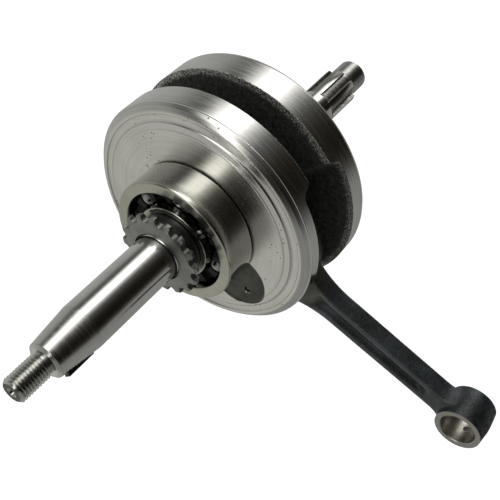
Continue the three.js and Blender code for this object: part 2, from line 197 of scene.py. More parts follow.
def outward_normals(bm):
    bmesh.ops.recalc_face_normals(bm, faces=bm.faces)


def finish_mesh(obj, angle=32):
    """Smooth shading. Edges sharper than the angle stay crisp, and faces square to Y stay flat."""
    limit = math.radians(angle)

    def shade(bm):
        for face in bm.faces:
            face.smooth = abs(face.normal.y) < 0.99995
        for edge in bm.edges:
            edge.smooth = not (edge.is_manifold and edge.calc_face_angle(0) > limit)

    edit_mesh(obj.data, shade)
    return obj


def mesh_object(name, points, faces):
    """Object from points in millimetres and face indices, with normals facing outwards."""
    mesh = bpy.data.meshes.new(name)
    mesh.from_pydata([tuple(c * MM for c in p) for p in points], [], faces)
    edit_mesh(mesh, outward_normals)
    return add_object(name, mesh)


def ball_mesh(name, radius, place, segments=56, rings=36):
    """Ball with its poles along Z."""
    mesh = bpy.data.meshes.new(name)

    def fill(bm):
        bmesh.ops.create_uvsphere(bm, u_segments=segments, v_segments=rings, radius=radius * MM)
        bmesh.ops.translate(bm, verts=bm.verts, vec=tuple(c * MM for c in place))

    edit_mesh(mesh, fill)
    return add_object(name, mesh)


def grid_solid(name, rows, closed):
    """Closed solid from rows of points round an axis; open ends are capped with fans."""
    count = len(rows[0])
    points = [p for row in rows for p in row]
    faces = []
    last = len(rows) if closed else len(rows) - 1
    for i in range(last):
        a, b = i * count, ((i + 1) % len(rows)) * count
        for k in range(count):
            n = (k + 1) % count
            faces.append((a + k, a + n, b + n, b + k))
    if not closed:
        for row, start in ((rows[0], 0), (rows[-1], (len(rows) - 1) * count)):
            centre = np.mean(np.array(row), axis=0)
            points.append(tuple(centre))
            faces += [(start + k, start + (k + 1) % count, len(points) - 1) for k in range(count)]
    return mesh_object(name, points, faces)


def turned(name, outline, sides=160, x=0.0, z=0.0, closed=False):
    """Solid of revolution about Y from [radius, height] pairs."""
    angles = np.linspace(0, 2 * math.pi, sides, endpoint=False)
    rows = [[(x + r * math.cos(a), y, z + r * math.sin(a)) for a in angles] for r, y in outline]
    return grid_solid(name, rows, closed)


def disc(radius, start, end):
    """Outline of a plain round disc between two heights."""
    return [(0.01, start), (radius, start), (radius, end), (0.01, end)]


def ring_section(inner, outer, start, end):
    """Closed outline of a plain ring between two heights."""
    return [(inner, start), (outer, start), (outer, end), (inner, end)]


def rounded(outline, radius, steps=4, closed=False):
    """Outline with every corner rounded off by up to this radius.

    A close row on each side of a corner keeps its flat neighbours shaded flat.
    """
    result = []
    count = len(outline)
    for i, point in enumerate(outline):
        if not closed and i in (0, count - 1):
            result.append(tuple(point))
            continue
        p = Vector(point)
        before = Vector(outline[i - 1]) - p
        after = Vector(outline[(i + 1) % count]) - p
        if before.length < 1e-6 or after.length < 1e-6:
            result.append(tuple(point))
            continue
        reach = min(radius, before.length * 0.45, after.length * 0.45)
        start = p + before.normalized() * reach
        end = p + after.normalized() * reach
        result.append(tuple(start + before.normalized() * min(0.08, before.length * 0.04)))
        for k in range(steps + 1):
            t = k / steps
            result.append(tuple(start * (1 - t) ** 2 + p * (2 * t * (1 - t)) + end * t * t))
        result.append(tuple(end + after.normalized() * min(0.08, after.length * 0.04)))
    return result


def prism(name, outline, from_y, to_y):
    """Straight solid along Y from [x, z] pairs."""
    rows = [[(x, y, z) for x, z in outline] for y in (from_y, to_y)]
    return grid_solid(name, rows, False)


def across(name, outline, from_z, to_z):
    """Straight solid along Z from [x, y] pairs."""
    rows = [[(x, y, z) for x, y in outline] for z in (from_z, to_z)]
    return grid_solid(name, rows, False)


def rod_bar(name, radius, start, end, sides=48):
    """Round bar between two points."""
    a, b = Vector(start), Vector(end)
    direction = (b - a).normalized()
    side = direction.orthogonal().normalized()
    other = direction.cross(side)
    rows = []
    for p in (a, b):
        rows.append([tuple(p + radius * (math.cos(t) * side + math.sin(t) * other))
                     for t in np.linspace(0, 2 * math.pi, sides, endpoint=False)])
    return grid_solid(name, rows, False)


def apply_modifiers(obj):
    """Keep the mesh as its modifiers leave it."""
    depsgraph = bpy.context.evaluated_depsgraph_get()
    mesh = bpy.data.meshes.new_from_object(obj.evaluated_get(depsgraph))
    old = obj.data
    obj.modifiers.clear()
    obj.data = mesh
    bpy.data.meshes.remove(old)
    return obj


def boolean(obj, operation, *tools):
    """Join or cut with the tools, which are removed."""
    for tool in tools:
        change = obj.modifiers.new("boolean", "BOOLEAN")
        change.operation = operation
        change.solver = "EXACT"
        change.object = tool
    bpy.context.view_layer.update()
    apply_modifiers(obj)
    for tool in tools:
        bpy.data.objects.remove(tool)
    return obj


def turn(obj, degrees, x=0.0, z=0.0):
    """Turn the mesh about Y, from +X towards +Z, then move it."""
    place = Matrix.Translation((x * MM, 0, z * MM)) @ Matrix.Rotation(-math.radians(degrees), 4, "Y")
    obj.data.transform(place)
    return obj


def weld(obj):
    """Merge points that all but coincide, and drop faces with no area."""
    distance = 0.004 * MM

    def clean(bm):
        bmesh.ops.remove_doubles(bm, verts=bm.verts, dist=distance)
        bmesh.ops.dissolve_degenerate(bm, edges=bm.edges, dist=distance / 2)

    edit_mesh(obj.data, clean)
    return obj


def assign(obj, materials, choose):
    """Give each face the material whose index choose(centre, normal) returns, in millimetres."""
    obj.data.materials.clear()
    for material in materials:
        obj.data.materials.append(material)
    for face in obj.data.polygons:
        face.material_index = choose(face.center / MM, face.normal)
    return obj


def plain(obj, material):
    """Finish a piece that has the one material all over."""
    return finish_mesh(assign(obj, [material], lambda centre, normal: 0))


# ---- Node helpers ----


class Graph:
    """Short way to write shader nodes in one node tree."""

    def __init__(self, tree, space):
        self.tree = tree
        self.coordinate = self.add("ShaderNodeTexCoord").outputs[space]
        self.x, self.y, self.z = self.add("ShaderNodeSeparateXYZ", self.coordinate).outputs

    def add(self, kind, *inputs, **settings):
        node = self.tree.nodes.new(kind)
        for key, value in settings.items():
            setattr(node, key, value)
        for socket, value in zip(node.inputs, inputs):
            self.feed(socket, value)
        return node

    def feed(self, socket, value):
        if value is None:
            return
        if isinstance(value, bpy.types.NodeSocket):
            self.tree.links.new(value, socket)
        else:
            socket.default_value = value

    def math(self, operation, *values):
        return self.add("ShaderNodeMath", *values, operation=operation).outputs[0]

    def times(self, a, b):
        return self.math("MULTIPLY", a, b)

    def plus(self, a, b):
        return self.math("ADD", a, b)

    def remap(self, value, low, high, to_low=0.0, to_high=1.0):
        """Take the range low to high smoothly to the range to_low to to_high."""
        node = self.add("ShaderNodeMapRange", value, low, high, to_low, to_high)
        node.interpolation_type = "SMOOTHSTEP"
        return node.outputs["Result"]

    def mix(self, factor, a, b):
        node = self.add("ShaderNodeMix", data_type="RGBA")
        for name, value in (("Factor", factor), ("A", a), ("B", b)):
            sockets = [s for s in node.inputs if s.name == name and s.enabled]
            self.feed(sockets[0], value)
        return [s for s in node.outputs if s.enabled][0]


class Nodes(Graph):
    """The nodes of one metal or plastic material."""

    def __init__(self, name):
        self.material = bpy.data.materials.new(name)
        self.material.use_nodes = True
        super().__init__(self.material.node_tree, "Object")
        self.shader = self.tree.nodes["Principled BSDF"]

    def vector(self, x, y, z):
        return self.add("ShaderNodeCombineXYZ", x, y, z).outputs[0]

    def stretched(self, x, y, z):
        """Object coordinates, multiplied by a number along each axis."""
        return self.vector(self.times(self.x, x), self.times(self.y, y), self.times(self.z, z))

    def noise(self, vector, scale, detail=4.0, roughness=0.6):
        node = self.add("ShaderNodeTexNoise")
        self.feed(node.inputs["Vector"], vector)
        node.inputs["Scale"].default_value = scale
        node.inputs["Detail"].default_value = detail
        node.inputs["Roughness"].default_value = roughness
        return node.outputs["Fac"]

    def voronoi(self, vector, scale):
        node = self.add("ShaderNodeTexVoronoi")
        self.feed(node.inputs["Vector"], vector)
        node.inputs["Scale"].default_value = scale
        return node.outputs["Distance"]

    def clouds(self, noise, dark, light):
        """Two colours, blended by a noise."""
        return self.mix(self.remap(noise, 0.35, 0.65), rgb(*dark), rgb(*light))

    def radius(self, x=0.0, z=0.0):
        """Distance from an axis along Y at x, z, in millimetres."""
        dx = self.math("SUBTRACT", self.x, x * MM)
        dz = self.math("SUBTRACT", self.z, z * MM)
        square = self.plus(self.times(dx, dx), self.times(dz, dz))
        return self.times(self.math("SQRT", square), 1 / MM)

    def bump(self, height, strength, distance):
        node = self.add("ShaderNodeBump")
        self.feed(node.inputs["Height"], height)
        node.inputs["Strength"].default_value = strength
        node.inputs["Distance"].default_value = distance * MM
        return node.outputs["Normal"]

    def brushed(self, amount):
        """Spread reflections across lines that run round the Y axis."""
        tangent = self.add("ShaderNodeTangent", direction_type="RADIAL", axis="Y")
        self.tree.links.new(tangent.outputs[0], self.shader.inputs["Tangent"])
        self.shader.inputs["Anisotropic"].default_value = amount
        self.shader.inputs["Anisotropic Rotation"].default_value = 0.25

    def finish(self, colour=None, roughness=None, normal=None, metallic=1.0, specular=None):
        self.feed(self.shader.inputs["Base Color"], colour)
        self.feed(self.shader.inputs["Roughness"], roughness)
        self.feed(self.shader.inputs["Normal"], normal)
        self.feed(self.shader.inputs["Metallic"], metallic)
        self.feed(self.shader.inputs["Specular IOR Level"], specular)
        return self.material


def rgb(r, g, b):
    return (r, g, b, 1.0)


def share_of(colour, share):
    return rgb(*(c * share for c in colour))


# ---- Materials ----


def ground_steel(name, colour, roughness, brushed=0.7, scratch=0.5, dark=0.86):
    """Cylindrically ground steel: fine lines round the axis, faint chatter and a few nicks."""
    n = Nodes(name)
    if brushed:
        n.brushed(brushed)
    fine = n.noise(n.stretched(25, 6000, 25), 1.0, 3, 0.7)
    broad = n.noise(n.stretched(60, 900, 60), 1.0, 2, 0.5)
    cloud = n.noise(n.coordinate, 55)
    nicks = n.remap(n.noise(n.coordinate, 520, 2, 0.5), 0.71, 0.78)
    shade = n.remap(n.plus(n.times(fine, 0.5), n.times(cloud, 0.5)), 0.38, 0.62)
    base = n.mix(shade, share_of(colour, dark), rgb(*colour))
    base = n.mix(n.times(nicks, 0.5), base, share_of(colour, 0.3))
    rough = n.remap(broad, 0.35, 0.65, roughness * 0.8, roughness * 1.2)
    rough = n.plus(rough, n.times(nicks, 0.25))
    height = n.plus(n.times(fine, scratch), n.times(broad, 0.25))
    height = n.math("SUBTRACT", height, nicks)
    return n.finish(base, rough, n.bump(height, 0.1, 0.012))


def turned_face(name, colour, roughness, pits=1.0, brushed=0.8):
    """A faced web: concentric tool marks, faint stains and small corrosion pits."""
    n = Nodes(name)
    if brushed:
        n.brushed(brushed)
    radius = n.radius()
    wobble = n.times(n.noise(n.coordinate, 30, 2, 0.5), 0.25)
    marks = n.vector(n.times(n.plus(radius, wobble), 3.2), n.times(n.x, 8), n.times(n.z, 8))
    ridges = n.noise(marks, 1.0, 3, 0.65)
    coarse = n.noise(n.vector(n.times(radius, 0.55), 0.0, 0.0), 1.0, 2, 0.5)
    cloud = n.noise(n.coordinate, 42, 5, 0.62)
    patch = n.remap(n.noise(n.coordinate, 62, 2, 0.5), 0.52, 0.62)
    speck = n.remap(n.voronoi(n.coordinate, 420), 0.10, 0.24, 1.0, 0.0)
    pit = n.times(n.times(patch, speck), pits)
    shade = n.remap(n.plus(n.times(cloud, 0.55), n.times(ridges, 0.45)), 0.36, 0.64)
    base = n.mix(shade, share_of(colour, 0.86), rgb(*colour))
    base = n.mix(n.remap(coarse, 0.4, 0.6, 0.0, 0.16), base, share_of(colour, 0.6))
    base = n.mix(n.times(pit, 0.8), base, rgb(0.05, 0.045, 0.04))
    rough = n.remap(ridges, 0.3, 0.7, roughness * 0.85, roughness * 1.15)
    rough = n.plus(rough, n.times(pit, 0.3))
    height = n.plus(n.times(ridges, 0.8), n.times(coarse, 0.4))
    height = n.math("SUBTRACT", height, n.times(pit, 2.5))
    return n.finish(base, rough, n.bump(height, 0.16, 0.03))


def forged_web():
    """As-forged scale inside the webs, broken away to bright crumbs at the turned corner. The scale's black
    is taken darker as painted shade for the relief, and its light specks are painted glints.
    """
    n = Nodes("forged_web")
    radius = n.radius()
    grain = n.noise(n.coordinate, 1300, 5, 0.75)
    lumps = n.noise(n.coordinate, 420)
    edge_noise = n.times(n.math("SUBTRACT", n.noise(n.coordinate, 260, 4, 0.7), 0.5), 5.0)
    corner = n.remap(n.plus(radius, edge_noise), 54.6, 57.4, 0.0, 0.85)
    crumbs = n.remap(n.noise(n.coordinate, 1500, 3, 0.8), 0.46, 0.58)
    bare = n.times(corner, crumbs)
    # painted glints: light specks, a little smoother, stand for small highlights on the scale
    painted_sparkle = n.remap(n.noise(n.coordinate, 1500, 2, 0.6), 0.56, 0.70, 0.0, 0.45)
    # painted shade: the scale's colours are taken darker than black scale alone, to stand for the shade in
    # the relief pockets
    scale = n.mix(n.remap(lumps, 0.35, 0.7), rgb(0.009, 0.010, 0.008), rgb(0.038, 0.039, 0.034))
    scale = n.mix(painted_sparkle, scale, rgb(0.22, 0.215, 0.19))
    base = n.mix(bare, scale, rgb(0.62, 0.61, 0.56))
    metallic = n.remap(bare, 0.2, 0.8, 0.35, 0.9)
    rough = n.remap(bare, 0.0, 1.0, 0.6, 0.45)
    rough = n.math("SUBTRACT", rough, n.times(painted_sparkle, 0.3))
    height = n.plus(n.times(grain, 0.7), n.times(lumps, 0.8))
    return n.finish(base, rough, n.bump(height, 0.9, 0.3), metallic, 0.5)


def forged_rod():
    """Black shot-blasted forging with a faint blue cast, lighter on its ridges as a painted highlight, with
    light specks as painted glints, and browner near the pin.
    """
    n = Nodes("forged_rod")
    grain = n.noise(n.coordinate, 1100, 5, 0.7)
    lumps = n.noise(n.coordinate, 420, 5, 0.65)
    cloud = n.noise(n.coordinate, 60)
    # painted glints: sparse light specks stand for small highlights on the blasted surface
    speck = n.remap(n.noise(n.coordinate, 1300, 2, 0.6), 0.58, 0.72, 0.0, 0.25)
    # painted highlight: convex ridges are taken lighter to stand for light catching them
    painted_ridge_highlight = n.remap(n.add("ShaderNodeNewGeometry").outputs["Pointiness"], 0.505, 0.55, 0.0, 0.6)
    base = n.clouds(cloud, (0.010, 0.012, 0.012), (0.030, 0.037, 0.040))
    base = n.mix(speck, base, rgb(0.20, 0.22, 0.23))
    base = n.mix(painted_ridge_highlight, base, rgb(0.16, 0.165, 0.165))
    near_pin = n.radius(PIN_X, PIN_Z)
    # a brown tint, strongest close to the pin and patchy with the cloud
    browner_near_pin = n.times(n.remap(near_pin, 27, 41, 0.75, 0.0), n.remap(cloud, 0.42, 0.6, 0.3, 1.0))
    base = n.mix(browner_near_pin, base, rgb(0.105, 0.095, 0.062))
    rough = n.remap(lumps, 0.3, 0.7, 0.28, 0.46)
    height = n.plus(n.times(grain, 0.5), lumps)
    return n.finish(base, rough, n.bump(height, 0.9, 0.22), 0.55, 0.6)


def rough_forging():
    """The small end's dark, scabby flat."""
    n = Nodes("rough_forging")
    grain = n.noise(n.coordinate, 700, 6, 0.75)
    lumps = n.noise(n.coordinate, 260, 5, 0.65)
    base = n.mix(n.remap(grain, 0.45, 0.65), rgb(0.010, 0.010, 0.010), rgb(0.10, 0.10, 0.095))
    height = n.plus(grain, lumps)
    return n.finish(base, n.remap(lumps, 0.3, 0.7, 0.4, 0.65), n.bump(height, 0.9, 0.4), 0.7)


def thread_steel():
    """Rolled thread, brighter than the shaft it ends."""
    n = Nodes("thread_steel")
    fine = n.noise(n.stretched(120, 3000, 120), 1.0, 3, 0.7)
    cloud = n.noise(n.coordinate, 160)
    base = n.clouds(cloud, (0.40, 0.40, 0.37), (0.52, 0.52, 0.49))
    return n.finish(base, n.remap(fine, 0.3, 0.7, 0.16, 0.24), n.bump(fine, 0.1, 0.01))


def dull_end():
    """Sawn and faced end of the threaded shaft, dull and dark with arc-shaped marks."""
    n = Nodes("shaft_end")
    arcs = n.vector(n.times(n.radius(), 2.2), n.times(n.x, 60), n.times(n.z, 60))
    marks = n.noise(arcs, 1.0, 3)
    cloud = n.noise(n.coordinate, 300)
    base = n.clouds(cloud, (0.05, 0.05, 0.045), (0.12, 0.12, 0.11))
    return n.finish(base, n.remap(marks, 0.3, 0.7, 0.4, 0.55), n.bump(marks, 0.3, 0.03))


def sprocket_steel():
    """Matt phosphated sprocket with a fine grain."""
    n = Nodes("sprocket_steel")
    grain = n.noise(n.coordinate, 1600, 4, 0.7)
    cloud = n.noise(n.coordinate, 120)
    base = n.clouds(cloud, (0.205, 0.205, 0.195), (0.255, 0.255, 0.245))
    base = n.mix(n.remap(grain, 0.55, 0.75, 0.0, 0.4), base, rgb(0.10, 0.10, 0.10))
    return n.finish(base, n.remap(grain, 0.3, 0.7, 0.38, 0.52), n.bump(grain, 0.3, 0.03))


def hub_steel():
    """The sprocket's dark turned boss."""
    n = Nodes("hub_steel")
    fine = n.noise(n.stretched(60, 4000, 60), 1.0, 3, 0.7)
    cloud = n.noise(n.coordinate, 130)
    base = n.clouds(cloud, (0.075, 0.075, 0.075), (0.13, 0.13, 0.13))
    return n.finish(base, n.remap(fine, 0.3, 0.7, 0.34, 0.46), n.bump(fine, 0.2, 0.02))


def pin_face():
    """Ground end of the crank pin: darker as painted shade for its recess, with a slight green cast and cross
    scratches.
    """
    n = Nodes("pin_face")
    scratches = n.noise(n.stretched(300, 0.0, 4000), 1.0, 3, 0.7)
    cloud = n.noise(n.coordinate, 110)
    # painted shade: the face's steel is taken dark to stand for the shade of its recess in the web
    base = n.clouds(cloud, (0.050, 0.051, 0.042), (0.080, 0.081, 0.068))
    return n.finish(base, n.remap(scratches, 0.3, 0.7, 0.36, 0.5), n.bump(scratches, 0.15, 0.02))


def shaded_ball_steel():
    """Polished balls and needles under a thin film of oil, coloured dark as painted shade for their places
    between rings, cage and rod.
    """
    n = Nodes("shaded_ball_steel")
    film = n.noise(n.coordinate, 260, 3, 0.5)
    # painted shade: the steel's colours are taken dark to stand for the shade between the rings, the cage and
    # the rod
    base = n.mix(n.remap(film, 0.3, 0.7), rgb(0.20, 0.20, 0.19), rgb(0.30, 0.30, 0.285))
    return n.finish(base, n.remap(film, 0.3, 0.7, 0.12, 0.2))


def nylon():
    """Black nylon of the ball cage, taken darker still as painted shade between the rings."""
    n = Nodes("cage_nylon")
    grain = n.noise(n.coordinate, 900)
    # black nylon, darkened past its own colour as painted shade between the bearing rings
    base = n.mix(grain, rgb(0.006, 0.006, 0.006), rgb(0.014, 0.014, 0.013))
    return n.finish(base, n.remap(grain, 0.3, 0.7, 0.4, 0.55), n.bump(grain, 0.25, 0.05), 0.0, 0.12)


def bronze():
    """Bronze of the thrust washers and the needle cage."""
    n = Nodes("washer_bronze")
    fine = n.noise(n.coordinate, 700)
    base = n.mix(fine, rgb(0.35, 0.26, 0.13), rgb(0.5, 0.38, 0.2))
    return n.finish(base, n.remap(fine, 0.3, 0.7, 0.28, 0.42), n.bump(fine, 0.2, 0.02))


def key_steel():
    """Steel of the flywheel key, coloured near black as painted shade."""
    n = Nodes("key_steel")
    grain = n.noise(n.coordinate, 1200, 4, 0.7)
    # painted shade: the key's steel is taken near black to stand for the shade it lies in
    base = n.mix(grain, rgb(0.012, 0.012, 0.012), rgb(0.05, 0.05, 0.05))
    return n.finish(base, n.remap(grain, 0.3, 0.7, 0.35, 0.5), n.bump(grain, 0.2, 0.03), 0.8)


STEEL = (0.62, 0.615, 0.585)
web_ground = ground_steel("web_ground", STEEL, 0.24, 0.7, 0.35)
shaft_ground = ground_steel("shaft_ground", STEEL, 0.13)
taper_ground = ground_steel("taper_ground", (0.60, 0.595, 0.565), 0.26)
web_face = turned_face("web_turned_face", (0.61, 0.605, 0.565), 0.24)
web_inner = forged_web()
threads = thread_steel()
bearing_od = ground_steel("bearing_ground", (0.62, 0.615, 0.575), 0.1)
bearing_face = ground_steel("bearing_face", (0.40, 0.40, 0.345), 0.22)
race_steel = ground_steel("race_steel", (0.50, 0.50, 0.47), 0.1)
rod_black = forged_rod()
rod_scab = rough_forging()
rod_ground = turned_face("rod_ground_face", (0.27, 0.265, 0.24), 0.3, 0.0, 0.0)
bore_steel = ground_steel("bore_honed", (0.36, 0.34, 0.30), 0.34, 0.0, 0.1)
# painted shade: the spline grooves' steel is taken darker to stand for the shade in the grooves
groove_shaded_steel = ground_steel("spline_groove", (0.26, 0.255, 0.235), 0.34, 0.0)
shaft_end = dull_end()
sprocket_grey = sprocket_steel()
sprocket_hub = hub_steel()
pin_face_painted_shade = pin_face()
balls_painted_shade = shaded_ball_steel()
cage_black_and_shade = nylon()
washer_metal = bronze()
key_painted_shade = key_steel()

# ---- Threads and splines ----

THREAD_STEPS = 10


def thread_rows(angles, start, end, crest, depth, pitch, tip):
    """Rows that follow a right-hand helix between two heights, and stay round at both ends.

    Each row holds (radius, height, angle) places. One pitch is cut into THREAD_STEPS rows.
    """
    root = crest - depth
    rows = []
    turns = (end - start) / pitch
    for j in range(-THREAD_STEPS, int(math.ceil(turns * THREAD_STEPS)) + 1):
        phase = abs((j % THREAD_STEPS) / THREAD_STEPS - 0.5) * 2
        cut = depth * (1 - min(1.0, max(0.0, (phase - 0.12) / 0.76)))
        row = []
        for a in angles:
            height = start + pitch * (j / THREAD_STEPS + a / (2 * math.pi))
            height = min(end, max(start, height))
            limit = min(root + (height - start) * 1.1, tip + (end - height) * 1.1)
            row.append((min(crest - cut, limit), height, a))
        rows.append(row)
    return rows


def rings(outline, angles):
    """Plain round rows from [radius, height] pairs."""
    return [[(r, height, a) for a in angles] for r, height in outline]


def threaded_shaft(before, thread, after, side):
    """Closed shaft whose helical rows join themselves one pitch on, after each turn."""
    rows = before + thread + after
    first, last = len(before), len(before) + len(thread) - 1
    count = len(rows[0])
    points = [(r * math.cos(a), side * height, -side * r * math.sin(a))
              for row in rows for r, height, a in row]

    def next_turn(i):
        return min(i + THREAD_STEPS, last) if first <= i <= last else i

    faces = []
    for i in range(len(rows) - 1):
        low, high = i * count, (i + 1) * count
        faces += [(low + k, low + k + 1, high + k + 1, high + k) for k in range(count - 1)]
        seam = next_turn(i) * count, next_turn(i + 1) * count
        faces.append((low + count - 1, *seam, high + count - 1))
    for i in (0, len(rows) - 1):
        points.append((0.0, side * rows[i][0][1], 0.0))
        faces += [(i * count + k, i * count + (k + 1) % count, len(points) - 1) for k in range(count)]
    shaft = weld(mesh_object("shaft", points, faces))
    edit_mesh(shaft.data, outward_normals)
    return shaft


def left_shaft():
    """The left shaft, from inside the web to the threaded end."""
    thread_root = LEFT_THREAD - LEFT_THREAD_DEPTH
    outline = rounded([
        (SHOULDER, WEB_FACE - 1),
        (SHOULDER, BEARING_BACK),
        (JOURNAL, BEARING_BACK),
        (JOURNAL, BEARING_FRONT),
        (SPROCKET_SEAT, BEARING_FRONT),
        (SPROCKET_SEAT, HUB_FRONT - SPROCKET_SEAT_SHORT),
        (SHAFT, HUB_FRONT - 0.2),
        (SHAFT, TAPER_START),
        (TAPER_END_RADIUS, TAPER_END),
        (TAPER_END_RADIUS - 1.6, TAPER_END + 1.2),
        (thread_root, TAPER_END + 1.5),
        (thread_root, LEFT_THREAD_START - 0.8),
    ], 0.18)
    angles = np.linspace(0, 2 * math.pi, 128, endpoint=False)
    tip = LEFT_THREAD - 1.3
    thread = thread_rows(angles, LEFT_THREAD_START - 0.7, LEFT_END, LEFT_THREAD,
                         LEFT_THREAD_DEPTH, LEFT_THREAD_PITCH, tip)
    end = [(tip - 0.3, LEFT_END), (2.3, LEFT_END), (2.1, LEFT_END - 0.15), (0.8, LEFT_END - 1.9),
           (0.75, LEFT_END - 2.8)]
    shaft = threaded_shaft(rings(outline, angles), thread, rings(end, angles), -1)
    return turn(shaft, -PIN_ANGLE)


def spline_ring(land_radius, root_radius, height):
    """Places round the shaft: each spline's land, then the groove after it.

    Rings outside the splines keep the columns of the splines' root.
    """
    step = 2 * math.pi / SPLINE_COUNT
    land_half = SPLINE_LAND_ANGLE
    side_radius = root_radius if root_radius < SPLINE_RADIUS else SPLINE_ROOT
    root_half = math.asin(SPLINE_HALF_WIDTH / side_radius)
    row = []
    for i in range(SPLINE_COUNT):
        for t in np.linspace(-1, 1, 7):
            row.append((land_radius, height, i * step + land_half * (1 + t)))
        start = i * step + land_half + root_half
        for t in np.linspace(0, 1, 13):
            row.append((root_radius, height, start + t * (step - 2 * root_half)))
    return row


def right_shaft():
    """The right shaft, from inside the web past the splines to the hollow threaded end."""
    outline = rounded([
        (SHOULDER, WEB_FACE - 1),
        (SHOULDER, BEARING_BACK),
        (JOURNAL, BEARING_BACK),
        (JOURNAL, RIGHT_JOURNAL_END),
        (SHAFT, RIGHT_JOURNAL_END),
        (SHAFT, RIGHT_SHAFT_END),
        (SPLINE_RADIUS, RIGHT_SHAFT_END),
        (SPLINE_RADIUS, SPLINE_START - SPLINE_RUNOUT),
    ], 0.18)
    rows = [spline_ring(r, r, height) for r, height in outline]
    rise = SPLINE_RADIUS - SPLINE_ROOT
    for i in range(1, 13):
        share = 1 - i / 12
        root = SPLINE_ROOT + rise * share * share
        rows.append(spline_ring(SPLINE_RADIUS, root, SPLINE_START - SPLINE_RUNOUT * share))
    for inset, drop in ((0.0, 0.7), (0.25, 0.35), (0.75, 0.0)):
        rows.append(spline_ring(SPLINE_RADIUS - inset, SPLINE_ROOT, SPLINE_END - drop))
    angles = [a for _, _, a in rows[-1]]
    thread_root = RIGHT_THREAD - RIGHT_THREAD_DEPTH
    rows += rings([(thread_root, SPLINE_END), (thread_root, SPLINE_END + 1.1)], angles)
    tip = RIGHT_THREAD - 1.5
    thread = thread_rows(angles, SPLINE_END + 1.2, RIGHT_END, RIGHT_THREAD,
                         RIGHT_THREAD_DEPTH, RIGHT_THREAD_PITCH, tip)
    end = [(tip - 0.4, RIGHT_END), (RIGHT_BORE + 0.25, RIGHT_END), (RIGHT_BORE, RIGHT_END - 0.25),
           (RIGHT_BORE, RIGHT_BORE_END)]
    shaft = threaded_shaft(rows, thread, rings(end, angles), 1)
    return turn(shaft, SPLINE_ANGLE + math.degrees(SPLINE_LAND_ANGLE) - PIN_ANGLE)


# ---- Crank halves ----

# Points of each web's outer corner: how far inside the web's radius, and how far below its face
LEFT_RIM = [
    (0.0, 4.35), (0.5, 4.2), (0.75, 3.85), (1.7, 2.55), (3.1, 1.35), (3.7, 1.0), (4.6, 0.98), (5.0, 1.25),
    (5.4, 1.85), (7.6, 1.75), (8.6, 1.35), (9.0, 0.75), (11.4, 0.5), (12.2, 0.0), (24.0, 0.0),
]
RIGHT_RIM = [(0.0, 1.6), (0.8, 0.0), (20.0, 0.0)]


def web_outline(side):
    """Half section of a web: plain on the inside, stepped and grooved at the left web's rim."""
    inner = [
        (0.01, COUNTERWEIGHT_FACE),
        (WEB_RADIUS - 2.7, COUNTERWEIGHT_FACE),
        (WEB_RADIUS, COUNTERWEIGHT_FACE + 0.5),
    ]
    rim = LEFT_RIM if side < 0 else RIGHT_RIM
    outer = [(WEB_RADIUS - inset, WEB_FACE - drop) for inset, drop in rim]
    return rounded(inner + outer + [(0.01, WEB_FACE)], 0.3, 2)


def relief_tools(side):
    """Cutters for the pin side: a slab with a filleted wall and a rounded lip, and a round pocket."""
    lip = COUNTERWEIGHT_EDGE - 8.0
    wall = rounded([
        (lip, COUNTERWEIGHT_FACE - 0.4),
        (COUNTERWEIGHT_EDGE - 1.6, COUNTERWEIGHT_FACE),
        (COUNTERWEIGHT_EDGE + 1.2, RELIEF_FACE),
        (COUNTERWEIGHT_EDGE + 20, RELIEF_FACE),
    ], 3.2, 6)
    shape = wall + [(2 * WEB_RADIUS, RELIEF_FACE), (2 * WEB_RADIUS, -3.0), (lip, -3.0)]
    slab = across("slab", [(x, side * y) for x, y in shape], -2 * WEB_RADIUS, 2 * WEB_RADIUS)
    pocket = rounded([
        (0.01, 0.0),
        (BIG_RADIUS + 1.5, 0.0),
        (BIG_RADIUS + 1.5, RELIEF_FACE),
        (0.01, RELIEF_FACE),
    ], 1.2, 3)
    well = turned("well", [(r, side * y) for r, y in pocket], 96, THROW)
    return slab, well


def crank_half(side, name, shaft):
    """One web with its relief, pin hole and shaft, with the pin towards +X."""
    web = turned(name, [(r, side * y) for r, y in web_outline(side)], 288)
    boolean(web, "DIFFERENCE", *relief_tools(side))
    boss_face = BIG_HALF + 1.3
    boss = turned("boss", disc(WASHER_RADIUS, side * boss_face, side * (RELIEF_FACE + 1)), 96, THROW)
    hole = rod_bar("hole", PIN_RADIUS + PRESS_GAP, (THROW, side * 2, 0), (THROW, side * 2 * WEB_FACE, 0), 128)
    boolean(web, "UNION", boss)
    boolean(web, "DIFFERENCE", hole)
    boolean(web, "UNION", shaft)
    return web


def key_slot():
    """Cutter for the round slot that the key sits in."""
    radius = KEY_RADIUS + PRESS_GAP
    points = [(KEY_CENTRE + radius * math.cos(t), -KEY_PLACE + radius * math.sin(t))
              for t in np.linspace(0, 2 * math.pi, 72, endpoint=False)]
    return across("slot", points, -KEY_HALF - PRESS_GAP, KEY_HALF + PRESS_GAP)


# The materials of both halves, and each one's place in the list
crank_finish = [web_ground, web_face, web_inner, shaft_ground,
                taper_ground, threads, shaft_end, groove_shaded_steel]
WEB_GROUND, WEB_TURNED, WEB_FORGED, SHAFT_GROUND, TAPER_GROUND, THREAD, SHAFT_END, GROOVE = range(8)


